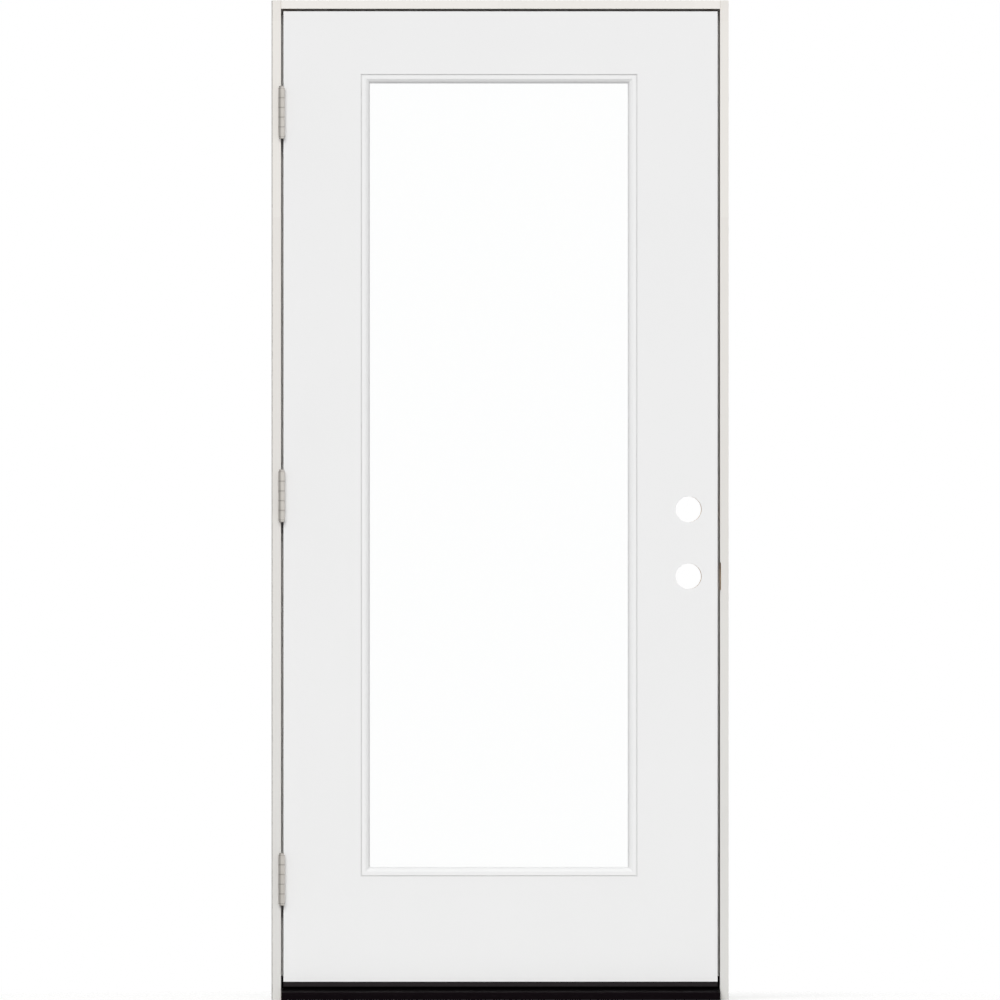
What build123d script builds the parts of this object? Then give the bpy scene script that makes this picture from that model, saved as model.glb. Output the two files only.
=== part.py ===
from build123d import *
from math import cos, radians, sin, tan
import os

# Full lite front door hung in its frame, for the outside wall of a house. It opens outwards,
# with its hinges on the left seen from outside. X runs across the opening, -Y is the exterior,
# +Z is up, and the origin is the middle of the sill's underside. All sizes are in millimetres.

# Frame: two side jambs at full height, with the head jamb and the sill housed between them
unit_width = 952.5
unit_height = 2087.6
jamb_depth = 115.9
jamb_thickness = 18.0
stop_projection = 12.7
rabbet_depth = 50.8
kerf_width = 3.2
kerf_depth = 12.7
jamb_ease = 1.5

# Sill: an aluminium extrusion over a solid core, with a bump that the leaf closes against
sill_nose_reach = 27.0
sill_nose_height = 17.0
sill_deck_height = 24.0
sill_bump_height = 50.0
sill_bump_width = 15.0
sill_edge_height = 20.0
sill_wall = 2.0
sill_ease = 2.5
tread_groove_count = 5
tread_groove_width = 1.2
tread_groove_depth = 0.7
tread_groove_pitch = 4.2

# Leaf: two thin skins over stiles, rails, a lock block and a foam core
leaf_thickness = 44.45
leaf_gap = 5.1
leaf_setback = 1.5
lock_bevel = 3.58
skin_thickness = 2.0
stile_width = 31.75
top_rail_height = 38.0
bottom_rail_height = 76.0
lock_block_width = 88.0
lock_block_margin = 80.0

# Lite: a moulded frame set flush in a recess of each skin, over one sealed double pane
lite_hinge_margin = 161.9
lite_lock_margin = 167.9
lite_top_margin = 131.6
lite_bottom_margin = 220.3
lite_reveal = 1.0
lite_band = 17.6
lite_flat = 9.0
lite_flange = 7.0
lite_flange_thickness = 2.5
lite_sink = 0.8
lite_wall = 3.0
lite_wall_clearance = 0.5
lite_edge_round = 0.6
lite_bead = 0.9
lite_roll_radius = 15.0
lite_lip = 1.0
glass_clearance = 0.5
glass_unit_thickness = 19.05
pane_thickness = 3.2
spacer_setback = 1.0
spacer_cover = 0.8

# Hinges: three butt hinges of five knuckles, let in flush, with buttons on the ends of their pins
hinge_height = 101.6
hinge_thickness = 2.5
hinge_depth = 50.8
hinge_corner_radius = 15.9
hinge_top_offset = 210.9
hinge_bottom_offset = 213.8
hinge_projection = 12.7
hinge_let_in_clearance = 0.1
knuckle_count = 5
knuckle_radius = 6.75
knuckle_gap = 0.4
knuckle_swing_clearance = 1.0
pin_radius = 3.8
pin_clearance = 0.08
pin_tip_radius = 5.4
pin_tip_height = 4.0

# Lock preparation: two cross bores, two edge bores, and a strike pocket and bore for each
latch_height = 885.2
deadbolt_spacing = 139.7
backset = 60.325
cross_bore_radius = 26.9875
edge_bore_radius = 12.7
faceplate_width = 25.4
faceplate_height = 57.15
faceplate_depth = 3.2
strike_bore_radius = 11.1125
strike_depth = 2.0
strike_width = 28.6
deadbolt_strike_height = 69.85

# Seals
strip_clearance = 0.5
strip_width = 12.0
strip_round = 2.0
strip_stem_thickness = 2.0
strip_stem_depth = 10.0
strip_barb = 0.4
strip_barb_depths = (4.5, 8.5)
strip_end_gap = 0.6
sill_seal_height = 6.0
sill_channel_depth = 4.5
sill_channel_height = 2.4
seal_stem_clearance = 0.2
sweep_height = 9.9
sweep_clearance = 5.0
sweep_base_thickness = 3.0
sweep_fin_count = 4
sweep_fin_thickness = 1.8

# Places that follow from the sizes
rabbet_x = unit_width / 2 - jamb_thickness
front_y = -jamb_depth / 2
back_y = jamb_depth / 2
stop_y = front_y + rabbet_depth
head_z = unit_height - jamb_thickness
stop_z = head_z - stop_projection
leaf_x = rabbet_x - leaf_gap
leaf_front = front_y + leaf_setback
leaf_back = leaf_front + leaf_thickness
leaf_mid = leaf_front + leaf_thickness / 2
leaf_bottom = sill_deck_height + sweep_clearance + sweep_height
leaf_top = head_z - leaf_gap
leaf_middle_z = (leaf_bottom + leaf_top) / 2
leaf_height = leaf_top - leaf_bottom
stile_x = leaf_x - stile_width
pin_x = hinge_thickness - leaf_x - knuckle_radius
pin_y = leaf_front - hinge_projection
lock_x = leaf_x - backset
lock_heights = (latch_height, latch_height + deadbolt_spacing)
sill_seal_z = (leaf_bottom + sill_bump_height) / 2
hinge_heights = {
    "top": leaf_top - hinge_top_offset,
    "middle": (leaf_top - hinge_top_offset + leaf_bottom + hinge_bottom_offset) / 2,
    "bottom": leaf_bottom + hinge_bottom_offset,
}

# The lite's levels are depths below the leaf's face, and its outlines are half sizes
recess_left = lite_hinge_margin - leaf_x
recess_right = leaf_x - lite_lock_margin
recess_low = leaf_bottom + lite_bottom_margin
recess_high = leaf_top - lite_top_margin
lite_x = (recess_left + recess_right) / 2
lite_z = (recess_low + recess_high) / 2
recess_half_width = (recess_right - recess_left) / 2
recess_half_height = (recess_high - recess_low) / 2
glass_depth = (leaf_thickness - glass_unit_thickness) / 2
cutout_inset = lite_reveal + lite_flange - lite_wall_clearance
glass_inset = lite_reveal + lite_flange + lite_wall + glass_clearance
pan_depth = lite_flange_thickness + skin_thickness

# Members between the skins
inner_depth = leaf_thickness - 2 * skin_thickness
block_x = stile_x - lock_block_width
block_low = lock_heights[0] - lock_block_margin
block_high = lock_heights[1] + lock_block_margin
core_low = leaf_bottom + bottom_rail_height
core_high = leaf_top - top_rail_height

# The edge on the lock side leans back, so that it clears the jamb as the leaf swings
bevel = radians(lock_bevel)
lock_edge = Plane(origin=(leaf_x, leaf_front, 0), x_dir=(0, 0, 1), z_dir=(cos(bevel), sin(bevel), 0))

os.makedirs("parts", exist_ok=True)


def finish(piece, name):
    """Label a finished piece and write it under its name"""
    piece.part.label = name
    export_step(piece.part, f"parts/{name}.step")


def frame_corner(side, z):
    """Plane across a side jamb, from its rabbet's inner corner into the opening and outwards"""
    return Plane(origin=(side * rabbet_x, stop_y, z), x_dir=(-side, 0, 0), z_dir=(0, 0, side))


def face_plane(y):
    """Plane parallel to the leaf's faces, with X across and Z up"""
    return Plane.XZ.offset(-y)


def board_section(plane):
    """Section of a jamb without its stop, with its outer arris eased"""
    with BuildSketch(plane) as board:
        with Locations((-jamb_thickness / 2, rabbet_depth - jamb_depth / 2)):
            Rectangle(jamb_thickness, jamb_depth)
        fillet(board.vertices().group_by(Axis.Y)[-1].sort_by(Axis.X)[-1], jamb_ease)
    return board.sketch


def stop_section(plane):
    """Section of a jamb's stop, with both arrises eased"""
    with BuildSketch(plane) as stop:
        Rectangle(stop_projection, jamb_depth - rabbet_depth, align=(Align.MIN, Align.MAX))
        fillet(stop.vertices().group_by(Axis.X)[-1], jamb_ease)
    return stop.sketch


def kerf_section(plane):
    """Section of the slot in the rabbet's corner that holds the weatherstrip"""
    with BuildSketch(plane) as kerf:
        Rectangle(kerf_width, kerf_depth, align=(Align.MIN, Align.MAX))
    return kerf.sketch


def strip_section(plane):
    """Section of the weatherstrip: a soft rounded body on a barbed stem"""
    reach = stop_y - leaf_back - strip_clearance
    with BuildSketch(plane) as strip:
        with Locations((strip_end_gap, 0)):
            Rectangle(strip_width - strip_end_gap, reach, align=Align.MIN)
        fillet(strip.vertices().group_by(Axis.Y)[-1], strip_round)
        with Locations((kerf_width / 2, 0)):
            Rectangle(strip_stem_thickness, strip_stem_depth, align=(Align.CENTER, Align.MAX))
        with Locations(*[(kerf_width / 2, -depth) for depth in strip_barb_depths]):
            Rectangle(strip_stem_thickness + 2 * strip_barb, 2 * strip_barb)
    return strip.sketch


def draw_sill():
    """Draw the whole sill's section in the open sketch, from its nose outside to its edge inside"""
    with BuildLine() as outline:
        Polyline(
            (front_y - sill_nose_reach, 0),
            (front_y - sill_nose_reach, sill_nose_height),
            (leaf_front, sill_deck_height),
            (stop_y, sill_deck_height),
            (stop_y, sill_bump_height),
            (stop_y + sill_bump_width, sill_bump_height),
            (back_y, sill_edge_height),
            (back_y, 0),
            close=True,
        )
    face = make_face(outline.edges())
    deck_or_floor = (0, sill_deck_height)
    fillet([v for v in face.vertices() if v.Y not in deck_or_floor], sill_ease)


def sill_outline():
    """Section of the sill as one solid shape"""
    with BuildSketch(Plane.YZ) as outline:
        draw_sill()
    return outline.sketch


def draw_channel(margin, mode):
    """Draw the seal's channel in the bump in the open sketch, with a margin all round"""
    with Locations((stop_y, sill_seal_z)):
        Rectangle(
            sill_channel_depth + margin,
            sill_channel_height + 2 * margin,
            align=(Align.MIN, Align.CENTER),
            mode=mode,
        )


def sill_core_section():
    """Section of the core that fills the extrusion down to the floor"""
    core_width = jamb_depth + sill_nose_reach - 2 * sill_wall
    with BuildSketch(Plane.YZ) as core:
        draw_sill()
        offset(amount=-sill_wall)
        with Locations((-sill_nose_reach / 2, 0)):
            Rectangle(core_width, sill_nose_height / 2, align=(Align.CENTER, Align.MIN))
        draw_channel(sill_wall, Mode.SUBTRACT)
    return core.sketch


def plate_outline(plane, grow):
    """Outline of a hinge plate on a vertical plane, square at the pin and rounded at its far end"""
    with BuildSketch(plane) as outline:
        with Locations((knuckle_radius + knuckle_swing_clearance, 0)):
            Rectangle(
                hinge_depth - knuckle_radius - knuckle_swing_clearance + grow,
                hinge_height + 2 * grow,
                align=(Align.MIN, Align.CENTER),
            )
        fillet(outline.vertices().group_by(Axis.X)[-1], hinge_corner_radius + grow)
    return outline.sketch


def plate_plane(x, z):
    """Vertical plane through the hinge pin at a height, reaching from the pin into the wall"""
    return Plane(origin=(x, pin_y, z), x_dir=(0, 1, 0), z_dir=(1, 0, 0))


def hinge_plate(x, thickness, knuckles, height):
    """One plate of a hinge with its own knuckles; thickness is signed, away from the gap"""
    knuckle_length = (hinge_height - (knuckle_count - 1) * knuckle_gap) / knuckle_count
    knuckle_pitch = knuckle_length + knuckle_gap
    lowest = height - hinge_height / 2
    with BuildPart() as plate:
        extrude(plate_outline(plate_plane(x, height), 0), amount=thickness)
        for index in knuckles:
            base = lowest + index * knuckle_pitch
            with BuildSketch(plate_plane(x, base)):
                Rectangle(knuckle_radius + knuckle_swing_clearance, knuckle_length, align=Align.MIN)
            extrude(amount=thickness)
            with BuildSketch(Plane.XY.offset(base)):
                with Locations((pin_x, pin_y)):
                    Circle(knuckle_radius)
            extrude(amount=knuckle_length)
        with BuildSketch(Plane.XY.offset(lowest)):
            with Locations((pin_x, pin_y)):
                Circle(pin_radius + pin_clearance)
        extrude(amount=hinge_height, mode=Mode.SUBTRACT)
    return plate


def leaf_outline(face_y):
    """The leaf's full height and width on one of its faces"""
    with BuildSketch(face_plane(face_y)) as outline:
        with Locations((0, leaf_middle_z)):
            Rectangle(2 * leaf_x, leaf_height)
    return outline.sketch


def lite_outline(face_y, inset):
    """The lite's outline on a plane, set in from the edge of its recess"""
    with BuildSketch(face_plane(face_y)) as outline:
        with Locations((lite_x, lite_z)):
            Rectangle(2 * (recess_half_width - inset), 2 * (recess_half_height - inset))
    return outline.sketch


def inner_block(x_low, x_high, z_low, z_high):
    """Outline of a member between the skins, on the back of the exterior skin"""
    with BuildSketch(face_plane(leaf_front + skin_thickness)) as outline:
        with Locations((x_low, z_low)):
            Rectangle(x_high - x_low, z_high - z_low, align=Align.MIN)
    return outline.sketch


def cross_bores():
    """Circles of the two bores through the leaf, on its exterior face"""
    with BuildSketch(face_plane(leaf_front)) as circles:
        with Locations(*[(lock_x, z) for z in lock_heights]):
            Circle(cross_bore_radius)
    return circles.sketch


def bolt_bores(x, radius):
    """Circles of the two bores on the line of the bolts, on a plane across it"""
    with BuildSketch(Plane.YZ.offset(x)) as circles:
        with Locations(*[(leaf_mid, z) for z in lock_heights]):
            Circle(radius)
    return circles.sketch


# Hinge jamb: finger-jointed pine, rabbeted from one board, with a pocket for each hinge plate
with BuildPart() as hinge_jamb:
    extrude(board_section(frame_corner(-1, 0)), amount=-unit_height)
    extrude(stop_section(frame_corner(-1, 0)), amount=-stop_z)
    extrude(kerf_section(frame_corner(-1, 0)), amount=-stop_z, mode=Mode.SUBTRACT)
    extrude(sill_outline(), amount=rabbet_x, both=True, mode=Mode.SUBTRACT)
    for height in hinge_heights.values():
        pocket = plate_outline(plate_plane(-rabbet_x, height), hinge_let_in_clearance)
        extrude(pocket, amount=-hinge_thickness, mode=Mode.SUBTRACT)
finish(hinge_jamb, "hinge_jamb")

# Strike jamb: the same board turned round, let in and bored for the latch and the deadbolt
with BuildPart() as strike_jamb:
    extrude(board_section(frame_corner(1, 0)), amount=unit_height)
    extrude(stop_section(frame_corner(1, 0)), amount=stop_z)
    extrude(kerf_section(frame_corner(1, 0)), amount=stop_z, mode=Mode.SUBTRACT)
    extrude(sill_outline(), amount=rabbet_x, both=True, mode=Mode.SUBTRACT)
    latch_strike_end = leaf_mid + strike_width / 2
    with BuildSketch(Plane.YZ.offset(rabbet_x)):
        with Locations((front_y, latch_height)):
            Rectangle(
                latch_strike_end - front_y, faceplate_height, align=(Align.MIN, Align.CENTER)
            )
        with Locations((leaf_mid, latch_height + deadbolt_spacing)):
            Rectangle(strike_width, deadbolt_strike_height)
    extrude(amount=strike_depth, mode=Mode.SUBTRACT)
    extrude(bolt_bores(rabbet_x, strike_bore_radius), amount=jamb_thickness, mode=Mode.SUBTRACT)
finish(strike_jamb, "strike_jamb")

# Head jamb: the same section, its ends against the side jambs
head_plane = Plane(origin=(rabbet_x, stop_y, head_z), x_dir=(0, 0, -1), z_dir=(-1, 0, 0))
with BuildPart() as head_jamb:
    extrude(board_section(head_plane), amount=2 * rabbet_x)
    extrude(stop_section(head_plane), amount=2 * rabbet_x)
    extrude(kerf_section(head_plane), amount=2 * rabbet_x, mode=Mode.SUBTRACT)
finish(head_jamb, "head_jamb")

# Sill extrusion: one aluminium section with a grooved tread and a channel for the seal
with BuildPart() as sill_extrusion:
    with BuildSketch(Plane.YZ):
        draw_sill()
        draw_channel(0, Mode.SUBTRACT)
        tread_run = sill_nose_reach + leaf_setback
        tread_rise = (sill_deck_height - sill_nose_height) / tread_run
        for index in range(tread_groove_count):
            run = sill_ease + (index + 1) * tread_groove_pitch
            with Locations((front_y - sill_nose_reach + run, sill_nose_height + run * tread_rise)):
                Rectangle(tread_groove_width, 2 * tread_groove_depth, mode=Mode.SUBTRACT)
    extrude(amount=rabbet_x, both=True)
    extrude(sill_core_section(), amount=rabbet_x, both=True, mode=Mode.SUBTRACT)
finish(sill_extrusion, "sill_extrusion")

# Sill core: composite board that fills the extrusion and sits on the floor
with BuildPart() as sill_core:
    extrude(sill_core_section(), amount=rabbet_x, both=True)
finish(sill_core, "sill_core")

# Sill seal: a vinyl bulb pushed into the bump's channel, just short of the closed leaf
with BuildPart() as sill_seal:
    with BuildSketch(Plane.YZ) as seal_section:
        with Locations((stop_y, sill_seal_z)):
            Rectangle(
                stop_y - leaf_back - strip_clearance,
                sill_seal_height,
                align=(Align.MAX, Align.CENTER),
            )
        fillet(seal_section.vertices().group_by(Axis.X)[0], strip_round)
        with Locations((stop_y, sill_seal_z)):
            Rectangle(
                sill_channel_depth - seal_stem_clearance,
                sill_channel_height - 2 * seal_stem_clearance,
                align=(Align.MIN, Align.CENTER),
            )
    extrude(amount=rabbet_x - strip_width - strip_end_gap, both=True)
finish(sill_seal, "sill_seal")

# Weatherstrips: pressed into the kerfs, the head's between the two side lengths
for side, name in ((-1, "weatherstrip_hinge_side"), (1, "weatherstrip_strike_side")):
    with BuildPart() as side_strip:
        strip_base = sill_bump_height + strip_end_gap
        strip_length = stop_z - strip_end_gap - strip_base
        extrude(strip_section(frame_corner(side, strip_base)), amount=side * strip_length)
    finish(side_strip, name)

with BuildPart() as head_strip:
    strip_plane = head_plane.offset(strip_end_gap)
    extrude(strip_section(strip_plane), amount=2 * (rabbet_x - strip_end_gap))
finish(head_strip, "weatherstrip_head")

# Hinges: the jamb's plate carries three knuckles and the pin, the leaf's plate the two between.
# The leaf's plate runs straight into the side of its knuckles, so the pin is nearer the jamb.
for name, height in hinge_heights.items():
    frame_plate = hinge_plate(-rabbet_x, -hinge_thickness, range(0, knuckle_count, 2), height)
    finish(frame_plate, f"hinge_{name}_frame_plate")
    leaf_plate = hinge_plate(-leaf_x, hinge_thickness, range(1, knuckle_count, 2), height)
    finish(leaf_plate, f"hinge_{name}_leaf_plate")
    with BuildPart() as pin:
        with BuildSketch(Plane.XY.offset(height)):
            with Locations((pin_x, pin_y)):
                Circle(pin_radius)
        extrude(amount=hinge_height / 2, both=True)
        for end in (-1, 1):
            with BuildSketch(Plane.XY.offset(height + end * hinge_height / 2)):
                with Locations((pin_x, pin_y)):
                    Circle(pin_tip_radius)
            extrude(amount=end * pin_tip_height)
    finish(pin, f"hinge_{name}_pin")

# Skins and panes come in pairs, one for each face of the leaf. Inward is the sign that takes an
# extrusion from that face into the leaf.
leaf_faces = (("exterior", leaf_front, -1), ("interior", leaf_back, 1))
for name, face_y, inward in leaf_faces:
    # Skin: moulded fibreglass with a shallow pan round the cut-out that takes the lite's flange
    with BuildPart() as skin:
        extrude(leaf_outline(face_y), amount=inward * skin_thickness)
        extrude(lite_outline(face_y, -skin_thickness), amount=inward * pan_depth)
        extrude(
            lite_outline(face_y, 0), amount=inward * lite_flange_thickness, mode=Mode.SUBTRACT
        )
        extrude(
            lite_outline(face_y, cutout_inset), amount=inward * pan_depth, mode=Mode.SUBTRACT
        )
        extrude(cross_bores(), amount=-leaf_thickness, mode=Mode.SUBTRACT)
        for height in hinge_heights.values():
            pocket = plate_outline(plate_plane(-leaf_x, height), hinge_let_in_clearance)
            extrude(pocket, amount=hinge_thickness, mode=Mode.SUBTRACT)
        split(bisect_by=lock_edge, keep=Keep.BOTTOM)
    finish(skin, f"leaf_skin_{name}")

    # Pane: clear float glass behind the moulding
    with BuildPart() as pane:
        pane_y = face_y - inward * glass_depth
        extrude(lite_outline(pane_y, glass_inset), amount=inward * pane_thickness)
    finish(pane, f"glass_{name}")

# Lite frames: a moulding swept round the glass, with its flange let into the skin's pan and its
# inner edge rolled over towards the pane. The interior one is the same moulding turned round.
with BuildPart() as lite_frame_exterior:
    start = (lite_x, leaf_front, recess_low + lite_reveal)
    reach_x = recess_half_width - lite_reveal
    reach_z = 2 * (recess_half_height - lite_reveal)
    with BuildLine(Plane(origin=start, x_dir=(1, 0, 0), z_dir=(0, -1, 0))) as lite_path:
        Polyline(
            (0, 0), (reach_x, 0), (reach_x, reach_z), (-reach_x, reach_z), (-reach_x, 0), close=True
        )
    wall_outside = lite_flange
    wall_inside = lite_flange + lite_wall
    with BuildSketch(Plane(origin=start, x_dir=(0, 0, 1), z_dir=(-1, 0, 0))):
        with BuildLine():
            roll_start = (lite_flat, lite_sink + lite_bead)
            roll_end = (lite_band, glass_depth - lite_lip)
            RadiusArc(roll_start, roll_end, -lite_roll_radius)
            Polyline(
                roll_end,
                (lite_band, glass_depth),
                (wall_inside, glass_depth),
                (wall_inside, leaf_thickness / 2),
                (wall_outside, leaf_thickness / 2),
                (wall_outside, lite_flange_thickness),
                (0, lite_flange_thickness),
                (0, lite_sink),
                (lite_flat, lite_sink),
                roll_start,
            )
        face = make_face()
        fillet(face.vertices().group_by(Axis.Y)[0], lite_edge_round)
    sweep(path=lite_path.wires()[0], transition=Transition.RIGHT)
finish(lite_frame_exterior, "lite_frame_exterior")

with BuildPart() as lite_frame_interior:
    mirror(lite_frame_exterior.part, about=face_plane(leaf_mid))
finish(lite_frame_interior, "lite_frame_interior")

# Glass spacer: the bar that seals the two panes together, hidden behind the lite's band
with BuildPart() as glass_spacer:
    spacer_y = leaf_front + glass_depth + pane_thickness
    spacer_depth = glass_unit_thickness - 2 * pane_thickness
    spacer_outside = glass_inset + spacer_setback
    spacer_inside = lite_reveal + lite_band - spacer_cover
    extrude(lite_outline(spacer_y, spacer_outside), amount=-spacer_depth)
    extrude(lite_outline(spacer_y, spacer_inside), amount=-spacer_depth, mode=Mode.SUBTRACT)
finish(glass_spacer, "glass_spacer")

# Hinge stile: laminated timber down the hinge edge, cut for the three hinge plates
with BuildPart() as hinge_stile:
    extrude(inner_block(-leaf_x, -stile_x, leaf_bottom, leaf_top), amount=-inner_depth)
    for height in hinge_heights.values():
        pocket = plate_outline(plate_plane(-leaf_x, height), hinge_let_in_clearance)
        extrude(pocket, amount=hinge_thickness, mode=Mode.SUBTRACT)
finish(hinge_stile, "hinge_stile")

# Lock stile: the same timber with a bevelled edge, bored and let in for two latch faceplates
with BuildPart() as lock_stile:
    extrude(inner_block(stile_x, leaf_x, leaf_bottom, leaf_top), amount=-inner_depth)
    split(bisect_by=lock_edge, keep=Keep.BOTTOM)
    extrude(bolt_bores(leaf_x, edge_bore_radius), amount=-stile_width, mode=Mode.SUBTRACT)
    for height in lock_heights:
        edge_middle = (leaf_x - leaf_thickness / 2 * tan(bevel), leaf_mid, height)
        with BuildSketch(
            Plane(origin=edge_middle, x_dir=(-sin(bevel), cos(bevel), 0), z_dir=lock_edge.z_dir)
        ):
            Rectangle(faceplate_width, faceplate_height)
        extrude(amount=-faceplate_depth, mode=Mode.SUBTRACT)
finish(lock_stile, "lock_stile")

# Lock block: solid timber behind the stile for the two cross bores
with BuildPart() as lock_block:
    extrude(inner_block(block_x, stile_x, block_low, block_high), amount=-inner_depth)
    extrude(cross_bores(), amount=-leaf_thickness, mode=Mode.SUBTRACT)
    extrude(bolt_bores(leaf_x, edge_bore_radius), amount=lock_x - leaf_x, mode=Mode.SUBTRACT)
finish(lock_block, "lock_block")

# Rails: timber across the top, and rot-proof composite across the bottom
with BuildPart() as top_rail:
    extrude(inner_block(-stile_x, stile_x, core_high, leaf_top), amount=-inner_depth)
finish(top_rail, "top_rail")

with BuildPart() as bottom_rail:
    extrude(inner_block(-stile_x, stile_x, leaf_bottom, core_low), amount=-inner_depth)
finish(bottom_rail, "bottom_rail")

# Core: foam that fills the rest of the leaf round the lite's cut-out
with BuildPart() as leaf_core:
    extrude(inner_block(-stile_x, stile_x, core_low, core_high), amount=-inner_depth)
    extrude(
        inner_block(block_x, stile_x, block_low, block_high),
        amount=-inner_depth,
        mode=Mode.SUBTRACT,
    )
    extrude(lite_outline(leaf_front, cutout_inset), amount=-leaf_thickness, mode=Mode.SUBTRACT)
    for name, face_y, inward in leaf_faces:
        extrude(
            lite_outline(face_y, -skin_thickness), amount=inward * pan_depth, mode=Mode.SUBTRACT
        )
finish(leaf_core, "leaf_core")

# Door sweep: a vinyl base under the leaf with a comb of fins above the sill's deck
with BuildPart() as door_sweep:
    with BuildSketch(Plane.YZ):
        with Locations((leaf_mid, leaf_bottom)):
            Rectangle(leaf_thickness, sweep_base_thickness, align=(Align.CENTER, Align.MAX))
        fin_pitch = (leaf_thickness - sweep_fin_thickness) / (sweep_fin_count - 1)
        fin_places = [
            (leaf_front + index * fin_pitch, leaf_bottom) for index in range(sweep_fin_count)
        ]
        with Locations(*fin_places):
            Rectangle(sweep_fin_thickness, sweep_height, align=(Align.MIN, Align.MAX))
    extrude(amount=leaf_x, both=True)
    split(bisect_by=lock_edge, keep=Keep.BOTTOM)
finish(door_sweep, "door_sweep")
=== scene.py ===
import math

import bmesh
import bpy
from mathutils import Matrix, Vector


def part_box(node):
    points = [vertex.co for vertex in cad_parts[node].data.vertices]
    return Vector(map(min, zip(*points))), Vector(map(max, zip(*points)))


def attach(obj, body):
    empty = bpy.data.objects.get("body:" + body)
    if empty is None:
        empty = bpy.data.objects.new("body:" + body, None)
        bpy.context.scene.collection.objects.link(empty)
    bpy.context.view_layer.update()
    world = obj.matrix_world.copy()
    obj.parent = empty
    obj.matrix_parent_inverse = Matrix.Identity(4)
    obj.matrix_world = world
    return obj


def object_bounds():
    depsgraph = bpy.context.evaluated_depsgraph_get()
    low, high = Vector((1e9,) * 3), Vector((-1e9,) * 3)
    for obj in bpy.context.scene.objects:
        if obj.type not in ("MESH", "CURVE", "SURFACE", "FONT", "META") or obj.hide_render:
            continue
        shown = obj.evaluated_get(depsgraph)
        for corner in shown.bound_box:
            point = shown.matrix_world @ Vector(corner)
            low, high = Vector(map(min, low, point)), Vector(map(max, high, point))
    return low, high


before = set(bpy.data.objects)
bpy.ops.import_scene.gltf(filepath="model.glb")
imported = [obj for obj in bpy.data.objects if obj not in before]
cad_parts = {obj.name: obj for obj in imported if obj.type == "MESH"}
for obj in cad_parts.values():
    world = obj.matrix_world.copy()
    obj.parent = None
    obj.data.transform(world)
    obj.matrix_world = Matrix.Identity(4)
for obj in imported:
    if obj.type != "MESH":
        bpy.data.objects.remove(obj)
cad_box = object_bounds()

# Camera: level with the middle of the unit and a little to the left of square, with a lens so
# long that the view is all but parallel. The unit's height just fills the picture.
unit_low, unit_high = cad_box
unit_height = unit_high.z - unit_low.z
unit_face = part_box("hinge_jamb")[0].y
camera_lens = 1500
camera_sensor = 36
camera_turn = math.radians(1.25)
camera_aside = -0.0012
camera_lift = 0.0006
camera_reach = unit_height * camera_lens / camera_sensor
camera_sight = 4 * camera_reach

camera_data = bpy.data.cameras.new("long_lens")
camera_data.lens = camera_lens
camera_data.sensor_width = camera_sensor
camera_data.clip_end = camera_sight
camera = bpy.data.objects.new("camera", camera_data)
camera.location = (
    camera_aside - camera_reach * math.sin(camera_turn),
    unit_face - camera_reach * math.cos(camera_turn),
    unit_height / 2 + camera_lift,
)
camera.rotation_euler = (math.radians(90), 0, -camera_turn)
bpy.context.scene.collection.objects.link(camera)
bpy.context.scene.camera = camera
bpy.context.scene.view_settings.view_transform = "Standard"

# Studio: a white room that fills in softly, with one broad lamp in front, high and a little to
# the left. Shiny things see the room as white too, apart from a grey screen on the left that
# gives metal its dark side.
fill_level = 0.445
key_level = 1.95
key_softness = math.radians(30)
key_direction = Vector((0.13, 0.89, -0.43))
screen_level = 0.5
screen_edge = (0.25, 0.75)


class Level:
    """A number, colour or direction in a node tree. Arithmetic on it adds Math nodes."""

    def __init__(self, recipe, socket):
        self.recipe = recipe
        self.socket = socket

    def maths(self, operation, first, second=0.0):
        return self.recipe.node("Math", {"operation": operation}, {0: first, 1: second})

    def __add__(self, other):
        return self.maths("ADD", self, other)

    def __sub__(self, other):
        return self.maths("SUBTRACT", self, other)

    def __rsub__(self, other):
        return self.maths("SUBTRACT", other, self)

    def __mul__(self, other):
        return self.maths("MULTIPLY", self, other)

    def __truediv__(self, other):
        return self.maths("DIVIDE", self, other)

    def __pow__(self, other):
        return self.maths("POWER", self, other)

    def __gt__(self, other):
        return self.maths("GREATER_THAN", self, other)

    def __lt__(self, other):
        return self.maths("LESS_THAN", self, other)

    def __abs__(self):
        return self.maths("ABSOLUTE", self)

    def whole(self):
        return self.maths("FLOOR", self)

    def zigzag(self, size):
        return self.maths("PINGPONG", self, size)

    def larger(self, other):
        return self.maths("MAXIMUM", self, other)

    def rise(self, low, high):
        """0 below low and 1 above high, with a smooth rise between"""
        settings = {"interpolation_type": "SMOOTHSTEP"}
        sockets = {"Value": self, "From Min": low, "From Max": high}
        return self.recipe.node("MapRange", settings, sockets)

    __radd__ = __add__
    __rmul__ = __mul__


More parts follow.
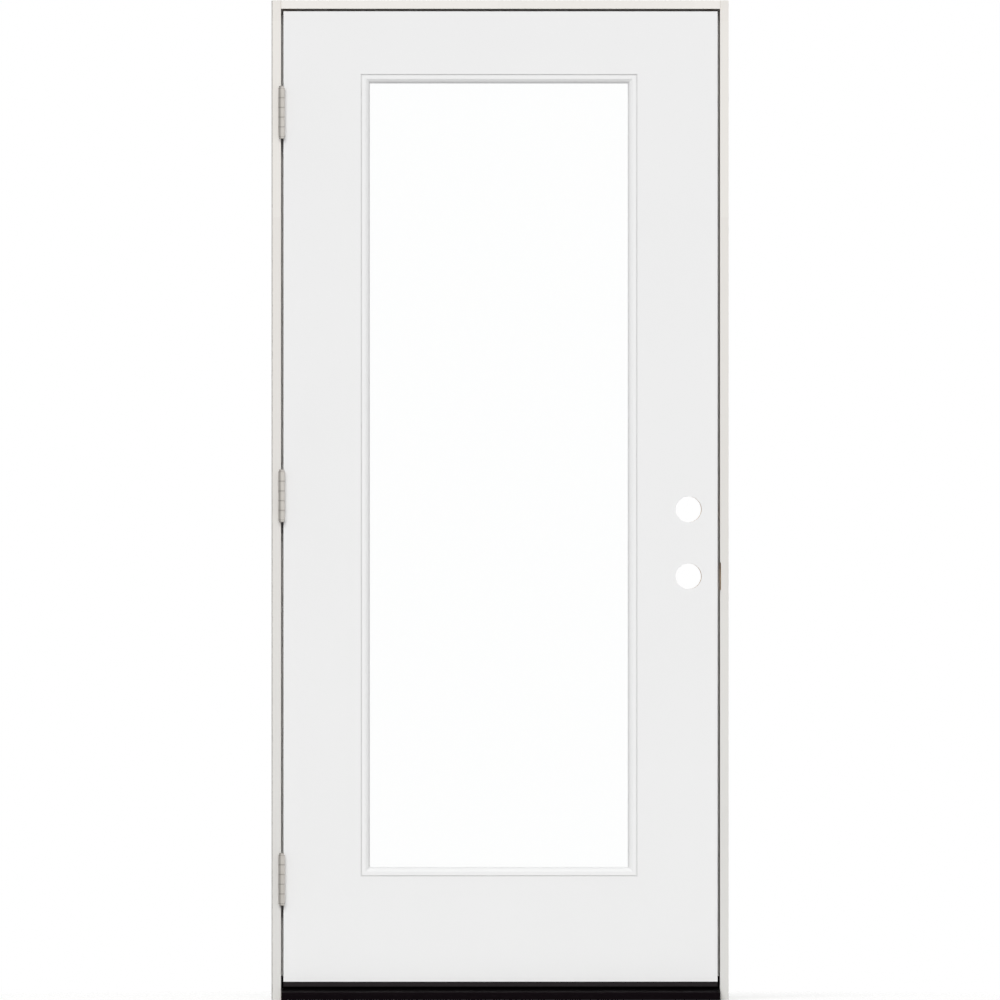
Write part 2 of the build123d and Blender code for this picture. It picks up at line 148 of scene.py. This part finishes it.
class Recipe:
    """The node tree of a material or of the world, while it is put together"""

    def __init__(self, owner):
        owner.use_nodes = True
        self.owner = owner
        self.tree = owner.node_tree

    def node(self, kind, settings=None, sockets=None, give=0):
        """Add a node, set it up, feed its sockets and return one of its outputs"""
        made = self.tree.nodes.new("ShaderNode" + kind)
        for name, value in (settings or {}).items():
            setattr(made, name, value)
        self.feed(made, sockets or {})
        return Level(self, made.outputs[give])

    def feed(self, made, sockets):
        for name, value in sockets.items():
            if isinstance(value, Level):
                self.tree.links.new(value.socket, made.inputs[name])
            else:
                made.inputs[name].default_value = value

    def place(self, give="Object"):
        return self.node("TexCoord", give=give)

    def axes(self, give="Object"):
        """The three parts of a place, or of the direction that a surface faces, as numbers"""
        place = self.place(give)
        return [self.node("SeparateXYZ", {}, {0: place}, part) for part in range(3)]

    def vector(self, x, y, z):
        return self.node("CombineXYZ", {}, {0: x, 1: y, 2: z})

    def stretched(self, vector, scale):
        return self.node("Mapping", {}, {"Vector": vector, "Scale": scale})

    def noise(self, scale, detail=2.0, vector=None):
        """Noise with one scale for the three axes, or one for each"""
        vector = vector or self.place()
        if isinstance(scale, tuple):
            vector, scale = self.stretched(vector, scale), 1.0
        return self.node("TexNoise", {}, {"Vector": vector, "Scale": scale, "Detail": detail})

    def mixed(self, share, first, second):
        """Two colours mixed by a share of the second"""
        return self.node("Mix", {"data_type": "RGBA"}, {0: share, 6: first, 7: second}, 2)

    def bump(self, height, depth):
        """A normal from a height that runs from 0 to 1, over a real depth in metres"""
        return self.node("Bump", {}, {"Height": height, "Distance": depth})

    def surface(self, **levels):
        """Feed the Principled shader's sockets, named with underscores for spaces"""
        sockets = {name.replace("_", " "): value for name, value in levels.items()}
        self.feed(self.tree.nodes["Principled BSDF"], sockets)
        return self.owner


room = Recipe(bpy.data.worlds.new("studio"))
bpy.context.scene.world = room.owner
seen_by_camera = room.node("LightPath", give="Is Camera Ray")
seen_by_gloss = room.node("LightPath", give="Is Glossy Ray")
seen_through = room.node("LightPath", give="Is Transmission Ray")
rightward = room.axes("Generated")[0]
screened = seen_by_gloss * (0 - rightward).rise(*screen_edge) * (1 - screen_level)
seen = (seen_by_camera + seen_by_gloss + seen_through).rise(0.0, 1.0)
room.feed(
    room.tree.nodes["Background"],
    {"Color": (1, 1, 1, 1), "Strength": fill_level + seen * (1 - fill_level) - screened},
)

key_data = bpy.data.lights.new("key", "SUN")
key_data.energy = key_level
key_data.angle = key_softness
key = bpy.data.objects.new("key", key_data)
key.rotation_mode = "QUATERNION"
key.rotation_quaternion = key_direction.to_track_quat("-Z", "Y")
key.visible_glossy = False
bpy.context.scene.collection.objects.link(key)

# Floor: a pale disc that fades into the white room at its rim and keeps the unit's shadow. To
# the camera it glows a little, so that it comes out white wherever nothing shades it.
floor_radius = 1.9
floor_fade = (0.4 * floor_radius, 0.97 * floor_radius)
floor_sides = 96
floor_drop = 0.0005
floor_lift = 0.55
floor_mesh = bmesh.new()
bmesh.ops.create_circle(floor_mesh, cap_ends=True, radius=floor_radius, segments=floor_sides)
bmesh.ops.translate(floor_mesh, vec=(0, 0, unit_low.z - floor_drop), verts=floor_mesh.verts)
floor_data = bpy.data.meshes.new("floor")
floor_mesh.to_mesh(floor_data)
floor_mesh.free()
floor = bpy.data.objects.new("floor", floor_data)
bpy.context.scene.collection.objects.link(floor)


def recipe_for(name):
    return Recipe(bpy.data.materials.new(name))


def tint(red, green, blue):
    """A colour as it shows on screen, 0 to 255, turned into the shader's linear light"""
    linear = [
        part / 12.92 if part <= 0.04045 else ((part + 0.055) / 1.055) ** 2.4
        for part in (red / 255, green / 255, blue / 255)
    ]
    return (*linear, 1.0)


paving = recipe_for("studio_floor")
floor_x, floor_y = paving.axes()[:2]
from_middle = (floor_x * floor_x + floor_y * floor_y) ** 0.5
to_camera = paving.node("LightPath", give="Is Camera Ray")
unlit = (0, 0, 0, 1)
lifted = (floor_lift, floor_lift, floor_lift, 1)
floor_data.materials.append(
    paving.surface(
        Base_Color=tint(202, 202, 201),
        Roughness=0.9,
        Specular_IOR_Level=0.1,
        Emission_Color=paving.mixed(to_camera, unlit, lifted),
        Emission_Strength=1.0,
        Alpha=1 - from_middle.rise(*floor_fade),
    )
)

# Jambs and head: rabbeted boards of finger-jointed pine under a coat of warm white primer. The
# grain and the joints just show through it, and it greys a little towards the floor. The sides
# towards the wall are painted darker, as painted shade, and sawn ends, pockets and bores are
# bare.
outer_side_painted_shade = tint(197, 193, 187)
jamb_primer = (tint(235, 232, 227), tint(228, 224, 219), outer_side_painted_shade)
# The head's primer is painted a little lighter than the jambs': painted light.
head_primer_painted_lighter = (tint(240, 237, 233), tint(234, 231, 226), outer_side_painted_shade)
low_grey = tint(207, 208, 207)
low_grey_share = 0.5
pine = tint(224, 201, 167)
pine_shade = tint(194, 164, 126)
board_thickness = 0.018
block_length = 0.41
finger_length = 0.011
finger_width = 0.004
coat_depth = 0.0006
grain_scale = (420, 420, 9)
brush_scale = (900, 900, 40)
end_facing = 0.9
wall_facing = 0.3
grain_depth = 0.00006


def primed_pine(node, order, thickness, coats, lean=0.0):
    """Primed board, its thickness along the first axis in order and its grain along the last"""
    board = recipe_for("primed_" + node)
    light, shade, outer_side_shade = coats
    low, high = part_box(node)
    outside = max(-low[order[0]], high[order[0]])
    parts = board.axes()
    facing = board.axes("Normal")
    across, through, along = [parts[axis] for axis in order]
    turned = board.vector(across, through, along)
    fingers = through.zigzag(finger_width) * (finger_length / finger_width)
    block = ((along + fingers) / block_length).whole()
    tone = board.node("TexWhiteNoise", {"noise_dimensions": "1D"}, {"W": block})
    grain = board.noise(grain_scale, detail=3, vector=turned)
    brush = board.noise(brush_scale, vector=turned)
    rings = board.node(
        "TexWave",
        {"wave_type": "RINGS", "rings_direction": "Z"},
        {"Vector": turned, "Scale": 110, "Distortion": 3.5, "Detail": 2, "Detail Scale": 2},
    )
    sawn = abs(facing[order[2]]) > end_facing
    squared = abs(across + (through - low.y) * lean)
    within = abs(squared - outside + thickness / 2) < thickness / 2 - coat_depth
    between = abs(through - (low.y + high.y) / 2) < (high.y - low.y) / 2 - coat_depth
    bare = (sawn + within * between) > 0.5
    # Greyer towards the floor.
    low_greying = (1 - parts[2].rise(0.0, unit_height)) * low_grey_share
    coat = board.mixed(low_greying, board.mixed(tone * 0.5 + grain * 0.4, light, shade), low_grey)
    # The side towards the wall is painted darker: painted shade.
    backed = across * facing[order[0]] > wall_facing
    painted = board.mixed(backed * (1 - grain * 0.3), coat, outer_side_shade)
    return board.surface(
        Base_Color=board.mixed(bare, painted, board.mixed(rings, pine, pine_shade)),
        Roughness=0.5 + grain * 0.12 + bare * 0.3,
        Specular_IOR_Level=0.25,
        Normal=board.bump(grain * 0.7 + brush * 0.3, grain_depth),
    )


def dress(material, *names):
    """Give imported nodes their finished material"""
    for name in names:
        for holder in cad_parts[name].material_slots:
            holder.material = material


upright = (0, 1, 2)
level = (2, 1, 0)
for jamb in ("hinge_jamb", "strike_jamb"):
    dress(primed_pine(jamb, upright, board_thickness, jamb_primer), jamb)
dress(primed_pine("head_jamb", level, board_thickness, head_primer_painted_lighter), "head_jamb")

# Sill: an aluminium extrusion in dark bronze anodising, with fine lines from its die and a few
# scuffs. It covers a board of grey-brown composite that shows only at its ends. The leaf's
# bottom rail is the same composite.
bronze = tint(18, 13, 17)
bronze_worn = tint(28, 22, 25)
sill_metal = recipe_for("dark_bronze")
die_lines = sill_metal.noise(scale=(3, 900, 900), detail=3)
scuffs = sill_metal.noise(scale=(9, 30, 30), detail=4)
dress(
    sill_metal.surface(
        Base_Color=sill_metal.mixed(die_lines * 0.5 + scuffs * 0.5, bronze, bronze_worn),
        Metallic=1.0,
        Roughness=0.34 + scuffs * 0.2,
        Normal=sill_metal.bump(die_lines, depth=0.00003),
    ),
    "sill_extrusion",
)

composite_dark = tint(112, 106, 98)
composite_pale = tint(170, 161, 148)
composite = recipe_for("composite_board")
flecks = composite.noise(scale=700, detail=3)
clumps = composite.noise(scale=60)
dress(
    composite.surface(
        Base_Color=composite.mixed(
            flecks * 0.6 + clumps * 0.4, composite_dark, composite_pale
        ),
        Roughness=0.78,
        Normal=composite.bump(flecks, depth=0.0002),
    ),
    "sill_core",
    "bottom_rail",
)

# Seals: off-white vinyl strips pressed into the frame's kerfs, their film a little wrinkled.
# The sill's bulb and the sweep under the leaf are extruded in near-black vinyl.
pale_vinyl = (tint(243, 242, 239), tint(237, 235, 231))
dark_vinyl = (tint(28, 24, 26), tint(38, 33, 35))
upright_wrinkles = (60, 60, 260)
level_wrinkles = (260, 60, 60)
wrinkle_depth = 0.00025


def soft_vinyl(name, colour, shade, wrinkles):
    """Matt vinyl with wrinkles across its length"""
    vinyl = recipe_for(name)
    folds = vinyl.noise(wrinkles, detail=3)
    dust = vinyl.noise(scale=35, detail=3)
    return vinyl.surface(
        Base_Color=vinyl.mixed(dust, colour, shade),
        Roughness=0.55 + dust * 0.15,
        Specular_IOR_Level=0.2,
        Normal=vinyl.bump(folds, wrinkle_depth),
    )


dress(
    soft_vinyl("strip_vinyl_upright", *pale_vinyl, upright_wrinkles),
    "weatherstrip_hinge_side",
    "weatherstrip_strike_side",
)
dress(soft_vinyl("strip_vinyl_head", *pale_vinyl, level_wrinkles), "weatherstrip_head")
dress(soft_vinyl("dark_vinyl", *dark_vinyl, level_wrinkles), "sill_seal", "door_sweep")

# Hinges: pressed steel plates rolled into knuckles round a pin, plated in satin nickel. The
# plates are brushed upwards and the knuckles round the pin. The joints between the knuckles
# are darkened with dark oil and with painted shade.
nickel = tint(215, 211, 205)
nickel_shade = tint(199, 194, 187)
joint_oil_and_shade = tint(120, 113, 102)
joint_oil_and_shade_share = 0.5
joint_oil_and_shade_edge = (0.01, 0.09)
knuckles = 5
barrel_face = -0.0615
hinge_levels = ("top", "middle", "bottom")
plating = recipe_for("satin_nickel")
plate_strokes = plating.noise(scale=(1400, 1400, 60))
barrel_strokes = plating.noise(scale=(90, 90, 2200))
on_barrel = plating.axes()[1] < barrel_face
strokes = plate_strokes * (1 - on_barrel) + barrel_strokes * on_barrel
tarnish = plating.noise(scale=45, detail=3)
from_joint = (plating.axes("Generated")[2] * knuckles).zigzag(0.5)
# Dark oil and painted shade near the knuckle joints.
oil_and_shade_at_joints = on_barrel * (1 - from_joint.rise(*joint_oil_and_shade_edge)) * joint_oil_and_shade_share
satin_nickel = plating.surface(
    Base_Color=plating.mixed(oil_and_shade_at_joints, plating.mixed(tarnish, nickel, nickel_shade), joint_oil_and_shade),
    Metallic=1.0,
    Roughness=0.3 + strokes * 0.16,
    Normal=plating.bump(strokes, depth=0.000012),
)
for height in hinge_levels:
    for part in ("frame_plate", "leaf_plate", "pin"):
        dress(satin_nickel, f"hinge_{height}_{part}")

# Hinge screws: four flat-head wood screws with cross recesses hold each plate, two near its
# ends and two further from the pin. They stand a hair proud of the plate.
screw_radius = 0.0046
screw_proud = 0.0003
screw_ease = 0.0002
recess_lines = (-0.0029, -0.0021, -0.00055, 0.00055, 0.0021, 0.0029)
recess_depth = 0.0016
recess_narrowing = 0.55
screw_places = ((0.022, 0.036), (0.022, -0.036), (0.036, 0.013), (0.036, -0.013))
first_spin = 11
next_spin = 37


def points_in(geometry):
    return [item for item in geometry if isinstance(item, bmesh.types.BMVert)]


def edges_in(geometry):
    return [item for item in geometry if isinstance(item, bmesh.types.BMEdge)]


def screw_head():
    """A screw head that faces +Z from the XY plane, with a cross cut into it"""
    head = bmesh.new()
    squares = len(recess_lines) - 1
    bmesh.ops.create_grid(head, x_segments=squares, y_segments=squares, size=squares / 2)
    for point in head.verts:
        point.co.x = recess_lines[round(point.co.x + squares / 2)]
        point.co.y = recess_lines[round(point.co.y + squares / 2)]
    arm_width, arm_end = recess_lines[3:5]
    cross = []
    for face in head.faces:
        near, far = sorted(abs(part) for part in face.calc_center_median().xy)
        if near < arm_width and far < arm_end:
            cross.append(face)
    border = [edge for edge in head.edges if edge.is_boundary]
    ring = bmesh.ops.extrude_edge_only(head, edges=border)["geom"]
    for point in points_in(ring):
        point.co = point.co.normalized() * screw_radius
    rim = [edge for edge in edges_in(ring) if edge.is_boundary]
    wall = bmesh.ops.extrude_edge_only(head, edges=rim)["geom"]
    bmesh.ops.translate(head, vec=(0, 0, -2 * screw_proud), verts=points_in(wall))
    sunk = bmesh.ops.extrude_face_region(head, geom=cross)["geom"]
    narrowing = (recess_narrowing, recess_narrowing, 1)
    bmesh.ops.scale(head, vec=narrowing, verts=points_in(sunk))
    bmesh.ops.translate(head, vec=(0, 0, -recess_depth), verts=points_in(sunk))
    bmesh.ops.delete(head, geom=cross, context="FACES_ONLY")
    bmesh.ops.bevel(
        head,
        geom=rim,
        offset=screw_ease,
        affect="EDGES",
        segments=2,
        profile=0.5,
        material=-1,
    )
    bmesh.ops.translate(head, vec=(0, 0, screw_proud), verts=head.verts)
    template = bpy.data.meshes.new("screw_head")
    head.to_mesh(template)
    head.free()
    return template


def new_piece(name, mesh, material, body):
    """Put a finished mesh in the scene, on its body and in its finish"""
    data = bpy.data.meshes.new(name)
    mesh.to_mesh(data)
    mesh.free()
    data.materials.append(material)
    piece = bpy.data.objects.new(name, data)
    bpy.context.scene.collection.objects.link(piece)
    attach(piece, body)


one_screw = screw_head()
on_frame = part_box("hinge_jamb")[0].x + board_thickness
on_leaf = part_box("leaf_skin_exterior")[0].x
for height in hinge_levels:
    pin_low, pin_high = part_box(f"hinge_{height}_pin")
    pin_middle = (pin_low + pin_high) / 2
    for side, surface, body in ((1, on_frame, "frame"), (-1, on_leaf, "leaf")):
        screws = bmesh.new()
        for number, (reach, rise) in enumerate(screw_places):
            screws.from_mesh(one_screw)
            screws.verts.ensure_lookup_table()
            latest = screws.verts[-len(one_screw.vertices):]
            spin = Matrix.Rotation(math.radians(next_spin * number + first_spin), 4, "Z")
            tilt = Matrix.Rotation(math.radians(90 * side), 4, "Y")
            seat = Matrix.Translation((surface, pin_middle.y + reach, pin_middle.z + rise))
            bmesh.ops.transform(screws, matrix=seat @ tilt @ spin, verts=latest)
        new_piece(f"hinge_{height}_{body}_screws", screws, satin_nickel, body)

# Leaf edges: planed timber stiles and top rail, primed white at the works on their long faces.
# The lock edge is bevelled. The lock block between its stile and the core is left bare, and
# shows only in the bores.
edge_primer = (tint(245, 245, 244), tint(240, 240, 238), tint(245, 245, 244))
lock_bevel = math.radians(3.58)
leaf_edges = (
    ("hinge_stile", upright, 0.0),
    ("lock_stile", upright, math.tan(lock_bevel)),
    ("top_rail", level, 0.0),
)
for edge, order, lean in leaf_edges:
    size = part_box(edge)[1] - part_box(edge)[0]
    dress(primed_pine(edge, order, size[order[0]], edge_primer, lean), edge)

figure_scale = (1, 1, 0.06)
bare_pine = recipe_for("bare_pine")
figure = bare_pine.node(
    "TexWave",
    {"wave_type": "BANDS", "bands_direction": "Y"},
    {
        "Vector": bare_pine.stretched(bare_pine.place(), figure_scale),
        "Scale": 70,
        "Distortion": 5,
        "Detail": 3,
        "Detail Scale": 1.5,
    },
)
pores = bare_pine.noise(scale=(1500, 1500, 45))
dress(
    bare_pine.surface(
        Base_Color=bare_pine.mixed(figure * 0.6 + pores * 0.3, pine, pine_shade),
        Roughness=0.55 + pores * 0.2,
        Normal=bare_pine.bump(pores, grain_depth),
    ),
    "lock_block",
)

# Core: cut polyurethane foam that fills the leaf round the lite and stiffens its skins. It is
# closed in on every side once the leaf is made up.
foam_pale = tint(222, 204, 150)
foam_dark = tint(196, 174, 118)
foam = recipe_for("core_foam")
cells = foam.node("TexVoronoi", {}, {"Vector": foam.place(), "Scale": 900})
dress(
    foam.surface(
        Base_Color=foam.mixed(cells, foam_pale, foam_dark),
        Roughness=0.9,
        Normal=foam.bump(cells, depth=0.0004),
    ),
    "leaf_core",
)

# Skins: one sheet of moulded fibreglass on each face of the leaf, smooth and factory white,
# with the faintest orange peel in its paint. A grey painted shade lies along the joint round
# the lite frame.
white = (tint(239, 239, 239), tint(236, 236, 236))
joint_painted_shade = tint(196, 196, 195)
joint_shade_share = 0.3
joint_shade_edge = (0.0008, 0.0026)
joint_centre = 0.0005
lite_low, lite_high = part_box("lite_frame_exterior")
lite_middle = (lite_low + lite_high) / 2
lite_size = lite_high - lite_low


def past_lite_edge(recipe):
    """How far a point lies outside the lite frame's outline; it is negative inside"""
    x, _, z = recipe.axes()
    past_side = abs(x - lite_middle.x) - lite_size.x / 2
    past_end = abs(z - lite_middle.z) - lite_size.z / 2
    return past_side.larger(past_end)


def shaded_at_joint(recipe, colour):
    """A colour with painted shade along the lite frame's joint"""
    off_joint = abs(past_lite_edge(recipe) - joint_centre)
    return recipe.mixed((1 - off_joint.rise(*joint_shade_edge)) * joint_shade_share, colour, joint_painted_shade)


skin = recipe_for("white_fibreglass")
peel = skin.noise(scale=620)
drift = skin.noise(scale=3.5)
dress(
    skin.surface(
        # Painted shade along the joint round the lite frame.
        Base_Color=shaded_at_joint(skin, skin.mixed(drift, *white)),
        Roughness=0.4 + drift * 0.06,
        Normal=skin.bump(peel, depth=0.000012),
    ),
    "leaf_skin_exterior",
    "leaf_skin_interior",
)

# Lite frames: one white moulding on each face, clamped together through the leaf round the
# glass. They are a shade glossier than the skins round them.
glossy_white = (tint(240, 240, 240), tint(237, 237, 237))
moulding = recipe_for("white_moulding")
gloss = moulding.noise(scale=5)
grit = moulding.noise(scale=900, detail=1)
white_moulding = moulding.surface(
    # Painted shade along the joint round the frame's outer edge.
    Base_Color=shaded_at_joint(moulding, moulding.mixed(gloss, *glossy_white)),
    Roughness=0.3 + gloss * 0.06,
    Normal=moulding.bump(grit, depth=0.000006),
)
dress(white_moulding, "lite_frame_exterior", "lite_frame_interior")

# Screw plugs: white plastic buttons over the screws that draw the two lite frames together.
# They sit on the flat of the inside frame only.
plug_radius = 0.0036
plug_proud = 0.0005
plug_inset = 0.0048
plug_sides = 28
plugs_up = 7
plugs_across = 3
inside_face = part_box("lite_frame_interior")[1].y
plug_places = []
for step in range(plugs_up):
    rise = lite_low.z + lite_size.z * (step + 0.5) / plugs_up
    plug_places += [(lite_low.x + plug_inset, rise), (lite_high.x - plug_inset, rise)]
for step in range(plugs_across):
    reach = lite_low.x + lite_size.x * (step + 0.5) / plugs_across
    plug_places += [(reach, lite_low.z + plug_inset), (reach, lite_high.z - plug_inset)]
plugs = bmesh.new()
facing_inside = Matrix.Rotation(math.radians(-90), 4, "X")
for x, z in plug_places:
    seat = Matrix.Translation((x, inside_face, z)) @ facing_inside
    disc = bmesh.ops.create_circle(
        plugs, cap_ends=True, radius=plug_radius, segments=plug_sides, matrix=seat
    )
    base = disc["verts"][0].link_faces[:]
    raised = bmesh.ops.extrude_face_region(plugs, geom=base)["geom"]
    bmesh.ops.translate(plugs, vec=(0, plug_proud, 0), verts=points_in(raised))
    bmesh.ops.delete(plugs, geom=base, context="FACES_ONLY")
    bmesh.ops.bevel(
        plugs,
        geom=edges_in(raised),
        offset=plug_proud / 2,
        affect="EDGES",
        segments=2,
        profile=0.5,
        material=-1,
    )
new_piece("lite_screw_plugs", plugs, white_moulding, "leaf")

# Panes: clear float glass, two to the sealed unit. It hides almost nothing straight on and
# mirrors more at a slant, by the same share on both sides of a pane.
mirror_share = 0.05
slant_power = 5
glass = recipe_for("clear_glass")
slant = glass.node("LayerWeight", {}, {"Blend": 0.5}, "Facing") ** slant_power
streaks = glass.noise(scale=2.5, detail=1)
glass.owner.surface_render_method = "BLENDED"
dress(
    glass.surface(
        Base_Color=tint(248, 251, 250),
        Metallic=1.0,
        Roughness=0.02 + streaks * 0.02,
        Alpha=mirror_share + slant * (1 - mirror_share),
    ),
    "glass_exterior",
    "glass_interior",
)

# Spacer: a mill-finish aluminium bar that seals the two panes apart, with a row of fine
# breather slots along its middle.
aluminium = tint(190, 192, 194)
slot_shade = tint(70, 72, 74)
slot_pitch = 0.006
slot_share = 0.35
slot_half_width = 0.0006
spacer = recipe_for("spacer_bar")
bar_x, bar_y, bar_z = spacer.axes()
bar_low, bar_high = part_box("glass_spacer")
slotted = (bar_x + bar_z).zigzag(slot_pitch / 2) < slot_pitch / 2 * slot_share
in_row = abs(bar_y - (bar_low.y + bar_high.y) / 2) < slot_half_width
rolled = spacer.noise(scale=(40, 1200, 40))
dress(
    spacer.surface(
        Base_Color=spacer.mixed(slotted * in_row, aluminium, slot_shade),
        Metallic=0.9,
        Roughness=0.36 + rolled * 0.14,
    ),
    "glass_spacer",
)
